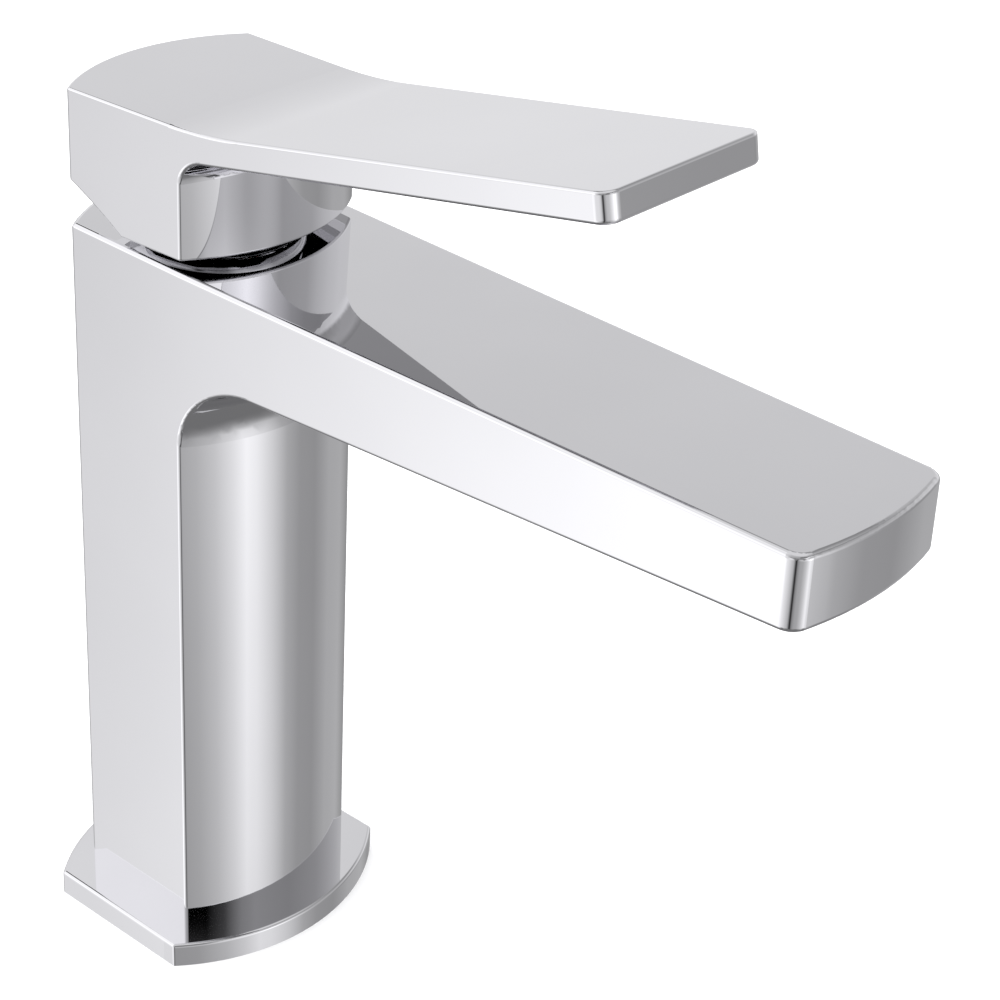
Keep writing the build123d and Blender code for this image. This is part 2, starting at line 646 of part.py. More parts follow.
with BuildPart() as lever_handle:
    with BuildSketch(Plane.XY.offset(HUB_BOTTOM_Z)):
        with BuildLine():
            Line((-COLUMN_CORNER_X, -HALF_WIDTH), (HUB_CORNER_X, -lever_half_width(HUB_CORNER_X)))
            ThreePointArc(
                (HUB_CORNER_X, -lever_half_width(HUB_CORNER_X)),
                (HUB_END_X, 0),
                (HUB_CORNER_X, lever_half_width(HUB_CORNER_X)),
            )
            Line((HUB_CORNER_X, lever_half_width(HUB_CORNER_X)), (-COLUMN_CORNER_X, HALF_WIDTH))
            ThreePointArc((-COLUMN_CORNER_X, HALF_WIDTH), (-END_X, 0), (-COLUMN_CORNER_X, -HALF_WIDTH))
        make_face()
    extrude(amount=LEVER_TOP_Z - HUB_BOTTOM_Z)
    add(lever_blade.part)

    # heel cut away, so that the lever can tip back
    with BuildSketch(Plane.XZ):
        heel_back = (HEEL_HIGH[0] - BEYOND, HEEL_HIGH[1] + HEEL_SLOPE * BEYOND)
        with BuildLine():
            Line(heel_back, HEEL_HIGH)
            ThreePointArc(HEEL_HIGH, HEEL_MID, HEEL_LOW)
            Polyline(
                HEEL_LOW,
                (HEEL_LOW[0], HEEL_LOW[1] - BEYOND),
                (heel_back[0], HEEL_LOW[1] - BEYOND),
                heel_back,
            )
        make_face()
    extrude(amount=COLUMN_WIDTH, both=True, mode=Mode.SUBTRACT)

    # notch between hub and blade, upright corners, then the other edges
    notch_z = blade_under_z(HUB_CORNER_X)
    notch = (
        edges()
        .filter_by_position(Axis.X, HUB_CORNER_X, HUB_END_X + 1)
        .filter_by_position(Axis.Z, notch_z - 1, notch_z + 2)
        .filter_by(lambda edge: edge.length > HALF_WIDTH)
    )
    fillet(notch, radius=NOTCH_RADIUS)
    corners = edges().filter_by(Axis.Z).filter_by_position(Axis.X, -COLUMN_CORNER_X - 1, HUB_CORNER_X + 1)
    fillet(corners, radius=LEVER_CORNER_RADIUS)
    heel_rim = edges().filter_by_position(Axis.X, -END_X, -COLUMN_CORNER_X - 1)
    heel_rim = heel_rim.filter_by_position(Axis.Z, HUB_BOTTOM_Z, LEVER_TOP_Z - 1)
    rounded = [edge for edge in sharp_edges(lever_handle.part, 0) if edge not in heel_rim]
    fillet(rounded, radius=LEVER_EDGE_RADIUS)

    # hollow hub, leaving the spindle's boss and a rib for the screw
    with BuildSketch(Plane.XY.offset(SOCKET_BOSS_Z)):
        Circle(HUB_CAVITY_RADIUS)
    extrude(amount=-BEYOND, mode=Mode.SUBTRACT)
    with BuildSketch(Plane.XY.offset(SOCKET_BOSS_Z)):
        Circle(HUB_CAVITY_RADIUS)
        Circle(SOCKET_BOSS_RADIUS, mode=Mode.SUBTRACT)
    extrude(amount=RIB_BOTTOM_Z - SOCKET_BOSS_Z, mode=Mode.SUBTRACT)
    with BuildSketch(Plane.XY.offset(RIB_BOTTOM_Z)):
        Circle(HUB_CAVITY_RADIUS)
        Circle(SOCKET_BOSS_RADIUS, mode=Mode.SUBTRACT)
        with Locations((-HUB_CAVITY_RADIUS / 2, 0)):
            Rectangle(HUB_CAVITY_RADIUS + 2, RIB_WIDTH, mode=Mode.SUBTRACT)
    extrude(amount=HUB_CAVITY_TOP_Z - RIB_BOTTOM_Z, mode=Mode.SUBTRACT)

    # square socket, screw hole and the plug's seat
    with BuildSketch(Plane.XY.offset(SHANK_Z[1] + SOCKET_TOP_GAP)):
        Rectangle(SHANK + SOCKET_CLEARANCE, SHANK + SOCKET_CLEARANCE)
    extrude(amount=-BEYOND, mode=Mode.SUBTRACT)
    with BuildSketch(Plane.YZ.offset(-SHANK / 2)):
        with Locations((0, SCREW_Z)):
            Circle(SCREW_RADIUS + SCREW_FIT)
    extrude(amount=-BEYOND, mode=Mode.SUBTRACT)
    with BuildSketch(Plane.YZ.offset(-END_X + PLUG_DEPTH)):
        with Locations((0, SCREW_Z)):
            Circle(PLUG_RADIUS + SCREW_FIT)
    extrude(amount=-BEYOND, mode=Mode.SUBTRACT)
lever_handle.part.label = "lever_handle"
export_step(lever_handle.part, "parts/lever_handle.step")

SCREW_TIP_X = -SHANK / 2 - SCREW_FIT
with BuildPart() as grub_screw:
    with BuildSketch(Plane.YZ.offset(SCREW_TIP_X)):
        with Locations((0, SCREW_Z)):
            Circle(SCREW_RADIUS)
    extrude(amount=-SCREW_LENGTH)
    with BuildSketch(Plane.YZ.offset(SCREW_TIP_X - SCREW_LENGTH)):
        with Locations((0, SCREW_Z)):
            RegularPolygon(KEY_SIZE / 2, 6, major_radius=False)
    extrude(amount=KEY_DEPTH, mode=Mode.SUBTRACT)
grub_screw.part.label = "grub_screw"
export_step(grub_screw.part, "parts/grub_screw.step")

with BuildPart() as index_plug:
    with BuildSketch(Plane.YZ.offset(-END_X + PLUG_DEPTH)):
        with Locations((0, SCREW_Z)):
            Circle(PLUG_RADIUS)
    extrude(amount=-PLUG_DEPTH)
    with BuildSketch(Plane.YZ.offset(-END_X + PLUG_DEPTH)):
        with Locations((0, SCREW_Z)):
            Circle(SCREW_RADIUS - THREAD_GAP)
    extrude(amount=PLUG_PIN_LENGTH)
    fillet(faces().sort_by(Axis.X)[0].edges(), radius=PLUG_EDGE_RADIUS)
index_plug.part.label = "index_plug"
export_step(index_plug.part, "parts/index_plug.step")

# ---------------------------------------------------------------- aerator
with BuildPart() as aerator_housing:
    with BuildSketch(Plane.XY.offset(AERATOR_Z[0])):
        with Locations((OUTLET_X, 0)):
            Circle(AERATOR_RADIUS - THREAD_GAP)
            Circle(AERATOR_BORE, mode=Mode.SUBTRACT)
    extrude(amount=AERATOR_Z[1] - WASHER_THICK - AERATOR_Z[0])
    with BuildSketch(Plane.XY.offset(AERATOR_Z[0])):
        with Locations((OUTLET_X, 0)):
            Circle(AERATOR_BORE)
            Circle(AERATOR_BORE - AERATOR_LIP, mode=Mode.SUBTRACT)
    extrude(amount=AERATOR_LIP)
    with BuildSketch(Plane.XY.offset(AERATOR_Z[0])):
        with Locations((OUTLET_X, 0)):
            with PolarLocations(AERATOR_RADIUS, KEY_SLOTS):
                Rectangle(*KEY_SLOT_SIZE)
    extrude(amount=KEY_SLOT_DEPTH, mode=Mode.SUBTRACT)
aerator_housing.part.label = "aerator_housing"
export_step(aerator_housing.part, "parts/aerator_housing.step")

MESH_Z = AERATOR_Z[0] + AERATOR_LIP
with BuildPart() as aerator_mesh:
    with BuildSketch(Plane.XY.offset(MESH_Z)):
        with Locations((OUTLET_X, 0)):
            Circle(AERATOR_BORE - THREAD_GAP)
            with GridLocations(MESH_PITCH, MESH_PITCH, MESH_COUNT, MESH_COUNT):
                Rectangle(MESH_OPENING, MESH_OPENING, mode=Mode.SUBTRACT)
    extrude(amount=MESH_THICK)
aerator_mesh.part.label = "aerator_mesh"
export_step(aerator_mesh.part, "parts/aerator_mesh.step")

with BuildPart() as aerator_core:
    with BuildSketch(Plane.XY.offset(MESH_Z + MESH_THICK)):
        with Locations((OUTLET_X, 0)):
            Circle(AERATOR_BORE - THREAD_GAP)
            Circle(AERATOR_BORE - CORE_WALL, mode=Mode.SUBTRACT)
    extrude(amount=CORE_TOP_Z - MESH_Z - MESH_THICK)
    with BuildSketch(Plane.XY.offset(CORE_TOP_Z)):
        with Locations((OUTLET_X, 0)):
            Circle(AERATOR_BORE - CORE_WALL)
            for ring_radius, jets in JET_RINGS:
                with PolarLocations(ring_radius, jets):
                    Circle(JET_RADIUS, mode=Mode.SUBTRACT)
    extrude(amount=-CORE_WALL)
aerator_core.part.label = "aerator_core"
export_step(aerator_core.part, "parts/aerator_core.step")

OUTLET = (OUTLET_X, 0)
WASHER_Z = AERATOR_Z[1] - WASHER_THICK
tube("flow_regulator", REGULATOR_OUTER, REGULATOR_BORE, CORE_TOP_Z, CORE_TOP_Z + REGULATOR_HEIGHT, OUTLET)
tube("aerator_washer", AERATOR_RADIUS - THREAD_GAP, WASHER_BORE, WASHER_Z, AERATOR_Z[1], OUTLET)
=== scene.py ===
"""The looks of a single-lever basin mixer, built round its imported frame."""
import logging
import math
from dataclasses import dataclass
from enum import Enum
from typing import Any, Optional, Union

import bmesh
import bpy
from mathutils import Matrix, Vector

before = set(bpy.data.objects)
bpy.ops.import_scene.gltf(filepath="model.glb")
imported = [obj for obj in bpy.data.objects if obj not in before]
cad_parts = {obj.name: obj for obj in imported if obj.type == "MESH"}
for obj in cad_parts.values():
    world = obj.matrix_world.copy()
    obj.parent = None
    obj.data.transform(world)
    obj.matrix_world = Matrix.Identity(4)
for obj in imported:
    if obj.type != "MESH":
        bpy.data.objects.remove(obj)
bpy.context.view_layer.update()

log = logging.getLogger("mixer")

Number = Union[float, "Value"]
Pair = tuple[float, float]
Span = tuple[float, float]         # where something starts and ends
Triple = tuple[float, float, float]
Colour = Triple
Pattern = tuple[float, float]      # a noise's scale and detail
Shade = Union[Colour, bpy.types.NodeSocket]
COLOUR_FACTOR = 0      # places of the Mix node's sockets when it mixes colours
COLOUR_A = 6
COLOUR_B = 7
COLOUR_RESULT = 2
EVEN = (1.0, 1.0, 1.0)             # stretches no axis
STEEL_TINT = (0.58, 0.58, 0.60)


# ---------------------------------------------------------------- shader building
class Value:
    """A number socket that can stand in a sum."""

    def __init__(self, shader: "Shader", socket: bpy.types.NodeSocket) -> None:
        """Keeps the socket and the shader it belongs to."""
        self.shader = shader
        self.socket = socket

    def _joined(self, operation: str, first: Number, second: Number) -> "Value":
        """Adds one Math node for an operation on two numbers."""
        return self.shader.value("ShaderNodeMath", {"operation": operation}, {0: first, 1: second})

    def __add__(self, other: Number) -> "Value":
        """self + other."""
        return self._joined("ADD", self, other)

    def __radd__(self, other: Number) -> "Value":
        """other + self."""
        return self._joined("ADD", other, self)

    def __sub__(self, other: Number) -> "Value":
        """self - other."""
        return self._joined("SUBTRACT", self, other)

    def __rsub__(self, other: Number) -> "Value":
        """other - self."""
        return self._joined("SUBTRACT", other, self)

    def __mul__(self, other: Number) -> "Value":
        """self * other."""
        return self._joined("MULTIPLY", self, other)

    def __rmul__(self, other: Number) -> "Value":
        """other * self."""
        return self._joined("MULTIPLY", other, self)

    def __pow__(self, other: Number) -> "Value":
        """self ** other."""
        return self._joined("POWER", self, other)

    def above(self, limit: float) -> "Value":
        """1 where self is over the limit, else 0."""
        return self._joined("GREATER_THAN", self, limit)

    def fade(self, start: float, end: float) -> "Value":
        """A smooth step from 0 at start to 1 at end."""
        ramp = {"From Min": start, "From Max": end, "Value": self}
        return self.shader.value("ShaderNodeMapRange", {"interpolation_type": "SMOOTHSTEP"}, ramp)


class Shader:
    """A node tree that is filled one node at a time."""

    def __init__(self, tree: bpy.types.NodeTree) -> None:
        """Empties the tree."""
        self.tree = tree
        tree.nodes.clear()

    def node(
        self,
        kind: str,
        settings: Optional[dict[str, Any]] = None,
        inputs: Optional[dict[Union[str, int], Any]] = None,
    ) -> bpy.types.Node:
        """Adds a node.

        Args:
            kind: the node's type.
            settings: its properties, set before the sockets; ramp stops are under "stops".
            inputs: a value, a socket or a Value for each input, by name or place.

        Returns:
            The new node.
        """
        made = self.tree.nodes.new(kind)
        for name, value in (settings or {}).items():
            if name == "stops":
                while len(made.color_ramp.elements) < len(value):
                    made.color_ramp.elements.new(1.0)
                for element, (place, colour) in zip(made.color_ramp.elements, value):
                    element.position = place
                    element.color = (*colour, 1.0)
            else:
                setattr(made, name, value)
        for key, value in (inputs or {}).items():
            if isinstance(value, Value):
                value = value.socket
            if isinstance(value, bpy.types.NodeSocket):
                self.tree.links.new(value, made.inputs[key])
            else:
                made.inputs[key].default_value = value
        return made

    def value(
        self,
        kind: str,
        settings: Optional[dict[str, Any]] = None,
        inputs: Optional[dict[Union[str, int], Any]] = None,
        output: Union[str, int] = 0,
    ) -> Value:
        """Adds a node and gives back one of its outputs as a Value."""
        return Value(self, self.node(kind, settings, inputs).outputs[output])

    def place(self, scale: Triple) -> bpy.types.NodeSocket:
        """Reads the piece's own coordinates.

        Args:
            scale: what each axis is multiplied by.

        Returns:
            The scaled coordinates.
        """
        coordinates = self.node("ShaderNodeTexCoord").outputs["Object"]
        mapped = self.node("ShaderNodeMapping", {}, {"Vector": coordinates, "Scale": scale})
        return mapped.outputs["Vector"]

    def noise(self, scale: float, detail: float = 2.0, stretch: Triple = EVEN) -> Value:
        """A noise of the given scale in the piece's own coordinates."""
        inputs = {"Vector": self.place(stretch), "Scale": scale, "Detail": detail}
        return self.value("ShaderNodeTexNoise", {}, inputs, "Fac")

    def bump(self, height: Number, strength: float, distance: float) -> bpy.types.NodeSocket:
        """A bump from a height, for a shader's Normal."""
        inputs = {"Height": height, "Strength": strength, "Distance": distance}
        return self.node("ShaderNodeBump", {}, inputs).outputs["Normal"]

    def mix(self, factor: Number, first: Shade, second: Shade) -> bpy.types.NodeSocket:
        """Mixes two colours.

        Args:
            factor: 0 for the first colour, 1 for the second.
            first: a colour or a socket that gives one.
            second: likewise.

        Returns:
            The mixed colour.
        """
        first, second = ((*shade, 1.0) if isinstance(shade, tuple) else shade for shade in (first, second))
        inputs = {COLOUR_FACTOR: factor, COLOUR_A: first, COLOUR_B: second}
        return self.node("ShaderNodeMix", {"data_type": "RGBA"}, inputs).outputs[COLOUR_RESULT]

    def axes(self) -> tuple[Value, Value, Value]:
        """The piece's own x, y and z, in metres."""
        coordinates = self.node("ShaderNodeTexCoord").outputs["Object"]
        return self.parts(coordinates)

    def parts(self, vector: bpy.types.NodeSocket) -> tuple[Value, Value, Value]:
        """The three numbers of a vector."""
        split = self.node("ShaderNodeSeparateXYZ", {}, {"Vector": vector})
        return tuple(Value(self, split.outputs[name]) for name in "XYZ")

    def surface(self, inputs: dict[Union[str, int], Any]) -> None:
        """Ends a material with one Principled shader."""
        principled = self.node("ShaderNodeBsdfPrincipled", {}, inputs)
        self.node("ShaderNodeOutputMaterial", {}, {"Surface": principled.outputs["BSDF"]})


def new_material(name: str) -> tuple[bpy.types.Material, Shader]:
    """Makes an empty material.

    Args:
        name: the material's name.

    Returns:
        The material and the shader that fills it.
    """
    material = bpy.data.materials.new(name)
    material.use_nodes = True
    return material, Shader(material.node_tree)


# ---------------------------------------------------------------- finishes
def dimmed(colour: Colour, share: float) -> Colour:
    """The colour at a share of its brightness."""
    return tuple(share * channel for channel in colour)


@dataclass(frozen=True)
class PolishedChrome:
    """Bright chrome plate over a polished casting.

    Args:
        name: the material's name.
        tint: reflectance.
        gloss: roughness of clean plate.
        haze: extra roughness where the polish is duller.
        ripple: height in metres of the faint waviness under the plate.
        ripple_scale: how closely the waves follow each other.
        bend_x: where the flanks start to close in towards the tip, in metres.
        bend_slope: how fast they close in; 0 leaves them flat.
        bend_reach: half length of the eased stretch, in metres.
        flank: square of the sideways part of a face's direction, from no flank to a whole one.
        cloud: noise of the duller patches.
        grain: noise of the fine polish marks.
        grain_share: how much of the haze follows the fine marks.
        dulled: range of the patches' noise over which the polish grows dull.
        shaded: range of the patches' noise over which the plate goes from dim to its full tint.
        dimmest: brightness of the dimmest plate, as a share of its tint.
        wave_detail: detail of the waviness.
        wave_stretch: scale of the waviness along each axis.
    """

    name: str
    tint: Colour = (0.80, 0.797, 0.816)
    gloss: float = 0.018
    haze: float = 0.022
    ripple: float = 0.0000012
    ripple_scale: float = 55.0
    bend_x: float = 0.0
    bend_slope: float = 0.0
    bend_reach: float = 0.012
    flank: Span = (0.9, 0.98)
    cloud: Pattern = (22.0, 3.0)
    grain: Pattern = (900.0, 2.0)
    grain_share: float = 0.3
    dulled: Span = (0.45, 0.75)
    shaded: Span = (0.3, 0.7)
    dimmest: float = 0.975
    wave_detail: float = 1.0
    wave_stretch: Triple = (1.0, 1.0, 0.25)

    def eased_flank(self, shader: Shader) -> Value:
        """Turns the flanks' straight crease into a slow curve.

        Args:
            shader: the material's shader.

        Returns:
            The height in metres that eases the crease.
        """
        x, _, _ = shader.axes()
        along = x - self.bend_x
        square = along * along
        gap = (square + self.bend_reach ** 2) ** 0.5 - square ** 0.5
        facing = shader.node("ShaderNodeNewGeometry").outputs["True Normal"]
        _, sideways, _ = shader.parts(facing)
        return gap * (-0.5 * self.bend_slope) * (sideways * sideways).fade(*self.flank)

    def material(self) -> bpy.types.Material:
        """Makes the material.

        Returns:
            The material.
        """
        made, shader = new_material(self.name)
        cloud = shader.noise(*self.cloud)
        grain = shader.noise(*self.grain)
        waves = shader.noise(self.ripple_scale, self.wave_detail, self.wave_stretch)
        marks = (1.0 - self.grain_share) + self.grain_share * grain
        shader.surface({
            "Base Color": shader.mix(cloud.fade(*self.shaded), dimmed(self.tint, self.dimmest), self.tint),
            "Metallic": 1.0,
            "Roughness": self.gloss + self.haze * cloud.fade(*self.dulled) * marks,
            "Normal": shader.bump(waves * self.ripple + self.eased_flank(shader), 1.0, 1.0),
        })
        return made


@dataclass(frozen=True)
class Moulded:
    """Moulded plastic or rubber with a fine eroded skin.

    Args:
        name: the material's name.
        colour: its colour.
        roughness: how dull it is.
        skin: height in metres of the texture.
        skin_strength: how much of that height is shaded.
        grain: noise of the skin.
        patches: noise of the uneven colour.
        shaded: range of the patches' noise over which the colour goes from dim to full.
        dimmest: brightness of the dimmest patches, as a share of the colour.
        unevenness: how much the roughness changes from patch to patch.
    """

    name: str
    colour: Colour
    roughness: float = 0.45
    skin: float = 0.00001
    skin_strength: float = 0.6
    grain: Pattern = (3500.0, 3.0)
    patches: Pattern = (120.0, 2.0)
    shaded: Span = (0.3, 0.7)
    dimmest: float = 0.86
    unevenness: float = 0.12

    def material(self) -> bpy.types.Material:
        """Makes the material.

        Returns:
            The material.
        """
        made, shader = new_material(self.name)
        grain = shader.noise(*self.grain)
        patches = shader.noise(*self.patches)
        darker = dimmed(self.colour, self.dimmest)
        shader.surface({
            "Base Color": shader.mix(patches.fade(*self.shaded), darker, self.colour),
            "Roughness": self.roughness + self.unevenness * (patches - 0.5),
            "Normal": shader.bump(grain, self.skin_strength, self.skin),
        })
        return made


@dataclass(frozen=True)
class Turned:
    """Metal turned about an upright axis, with fine rings left by the tool.

    Args:
        name: the material's name.
        colour: reflectance.
        axis_x: where the turning axis stands, in metres.
        pitch: distance between rings, in metres.
        roughness: how dull it is.
        depth: height of the rings, in metres.
        ring_strength: how much of that height is shaded.
        cloud: noise of the uneven colour.
        dimmest: brightness of the dimmest patches, as a share of the colour.
        unevenness: how much duller the brightest patches are.
    """

    name: str
    colour: Colour
    axis_x: float = 0.0
    pitch: float = 0.00035
    roughness: float = 0.28
    depth: float = 0.000004
    ring_strength: float = 0.3
    cloud: Pattern = (140.0, 2.0)
    dimmest: float = 0.85
    unevenness: float = 0.1

    def material(self) -> bpy.types.Material:
        """Makes the material.

        Returns:
            The material.
        """
        made, shader = new_material(self.name)
        x, y, z = shader.axes()
        x = x - self.axis_x
        radius = (x * x + y * y) ** 0.5
        turns = (radius + z) * (2 * math.pi / self.pitch)
        rings = shader.value("ShaderNodeMath", {"operation": "SINE"}, {0: turns})
        cloud = shader.noise(*self.cloud)
        shader.surface({
            "Base Color": shader.mix(cloud, dimmed(self.colour, self.dimmest), self.colour),
            "Metallic": 1.0,
            "Roughness": self.roughness + self.unevenness * cloud,
            "Normal": shader.bump(rings, self.ring_strength, self.depth),
        })
        return made


@dataclass(frozen=True)
class Lapped:
    """Ceramic lapped flat, with faint specks.

    Args:
        name: the material's name.
        colour: its colour.
        roughness: how dull the glossiest parts are.
        unevenness: how much duller the dullest parts are.
        polish: scale of the noise that the roughness follows.
        specks: noise of the specks.
        speckled: range of that noise over which a speck appears.
        dimmest: brightness of a speck, as a share of the colour.
        coat: weight of the glossy coat.
    """

    name: str
    colour: Colour
    roughness: float = 0.16
    unevenness: float = 0.1
    polish: float = 400.0
    specks: Pattern = (2600.0, 2.0)
    speckled: Span = (0.62, 0.70)
    dimmest: float = 0.75
    coat: float = 0.4

    def material(self) -> bpy.types.Material:
        """Makes the material.

        Returns:
            The material.
        """
        made, shader = new_material(self.name)
        specks = shader.noise(*self.specks).fade(*self.speckled)
        shader.surface({
            "Base Color": shader.mix(specks, self.colour, dimmed(self.colour, self.dimmest)),
            "Roughness": self.roughness + self.unevenness * shader.noise(self.polish),
            "Coat Weight": self.coat,
        })
        return made


@dataclass(frozen=True)
class IndexMark:
    """A glossy plug, red on the hot side and blue on the cold one, with a pale line between.

    Args:
        name: the material's name.
        line: half width of the line, in metres.
        hot: colour of the hot half.
        cold: colour of the cold half.
        pale: colour of the line.
        roughness: how dull the glossiest parts are.
        unevenness: how much duller the dullest parts are.
        polish: scale of the noise that the roughness follows.
        coat: weight of the glossy coat.
    """

    name: str
    line: float
    hot: Colour = (0.55, 0.03, 0.03)
    cold: Colour = (0.03, 0.10, 0.50)
    pale: Colour = (0.70, 0.70, 0.72)
    roughness: float = 0.2
    unevenness: float = 0.08
    polish: float = 300.0
    coat: float = 0.6

    def material(self) -> bpy.types.Material:
        """Makes the material.

        Returns:
            The material.
        """
        made, shader = new_material(self.name)
        _, y, _ = shader.axes()
        halves = shader.mix(y.above(0.0), self.hot, self.cold)
        middle = y.above(-self.line) * (1.0 - y.above(self.line))
        shader.surface({
            "Base Color": shader.mix(middle, halves, self.pale),
            "Roughness": self.roughness + self.unevenness * shader.noise(self.polish),
            "Coat Weight": self.coat,
        })
        return made


Finish = Union[PolishedChrome, Moulded, Turned, Lapped, IndexMark]


# ---------------------------------------------------------------- studio
@dataclass(frozen=True)
class Ring:
    """A ring of light and shade round the piece, read by compass direction.

    Args:
        stops: pairs of azimuth in degrees (0 along +X, 90 along +Y) and brightness there.
        ceiling: the brightness that a ramp's white stands for.
    """

    stops: tuple[Pair, ...]
    ceiling: float = 1.5

    def level(self, shader: Shader, azimuth: Value) -> Value:
        """Reads the ring.

        Args:
            shader: the world's shader.
            azimuth: the direction, from 0 at -180 degrees to 1 at 180.

        Returns:
            The brightness there.
        """
        stops = [((angle + 180.0) / 360.0, (light / self.ceiling,) * 3) for angle, light in self.stops]
        ramp = shader.value("ShaderNodeValToRGB", {"stops": stops}, {"Fac": azimuth})
        return ramp * self.ceiling


LOW_RING = Ring((
    (-180.0, 0.34), (-160.0, 0.52), (-141.0, 0.80), (-134.0, 0.93), (-127.0, 1.14), (-120.0, 1.30),
    (-113.0, 1.24), (-106.0, 0.98), (-88.0, 0.78), (-72.0, 0.54), (-66.0, 0.26), (-61.0, 0.02),
    (-57.0, 0.05), (-51.0, 0.30), (-40.0, 0.44), (-26.0, 0.48), (-10.0, 0.68), (1.0, 0.90),
    (10.0, 1.13), (17.0, 1.04), (27.0, 0.79), (39.0, 0.47), (50.0, 0.36), (64.0, 0.34), (80.0, 0.46),
    (98.0, 0.46), (114.0, 0.30), (128.0, 0.36), (140.0, 0.50), (160.0, 0.50), (180.0, 0.34),
))
MIDDLE_RING = Ring((
    (-180.0, 0.85), (-160.0, 1.10), (-137.0, 1.20), (-118.0, 1.20), (-105.0, 0.80), (-90.0, 0.55),
    (-60.0, 0.45), (-36.0, 0.42), (-24.0, 0.50), (-15.0, 1.15), (-4.0, 1.30), (9.0, 0.95), (33.0, 0.42),
    (57.0, 0.48), (68.0, 0.62), (80.0, 0.72), (96.0, 0.78), (116.0, 0.74), (140.0, 0.725), (180.0, 0.85),
))
UPPER_RING = Ring((
    (-180.0, 1.00), (-160.0, 1.15), (-140.0, 1.20), (-112.0, 0.85), (-90.0, 0.55), (-60.0, 0.45),
    (-45.0, 0.38), (-36.0, 0.00), (-18.0, 0.00), (-6.0, 0.06), (6.0, 0.28), (16.0, 0.35), (43.0, 0.31),
    (70.0, 0.38), (90.0, 0.50), (110.0, 0.60), (125.0, 0.68), (141.0, 0.84), (160.0, 0.90), (180.0, 1.00),
))
CROWN_RING = Ring((
    (-180.0, 1.15), (-170.0, 1.20), (-140.0, 1.20), (-112.0, 0.85), (-90.0, 0.60), (-45.0, 0.50),
    (-15.0, 0.45), (20.0, 0.42), (50.0, 0.50), (97.0, 0.28), (122.0, 0.45), (136.0, 0.30), (146.0, 0.02),
    (168.0, 0.02), (176.0, 0.85), (180.0, 1.15),
))


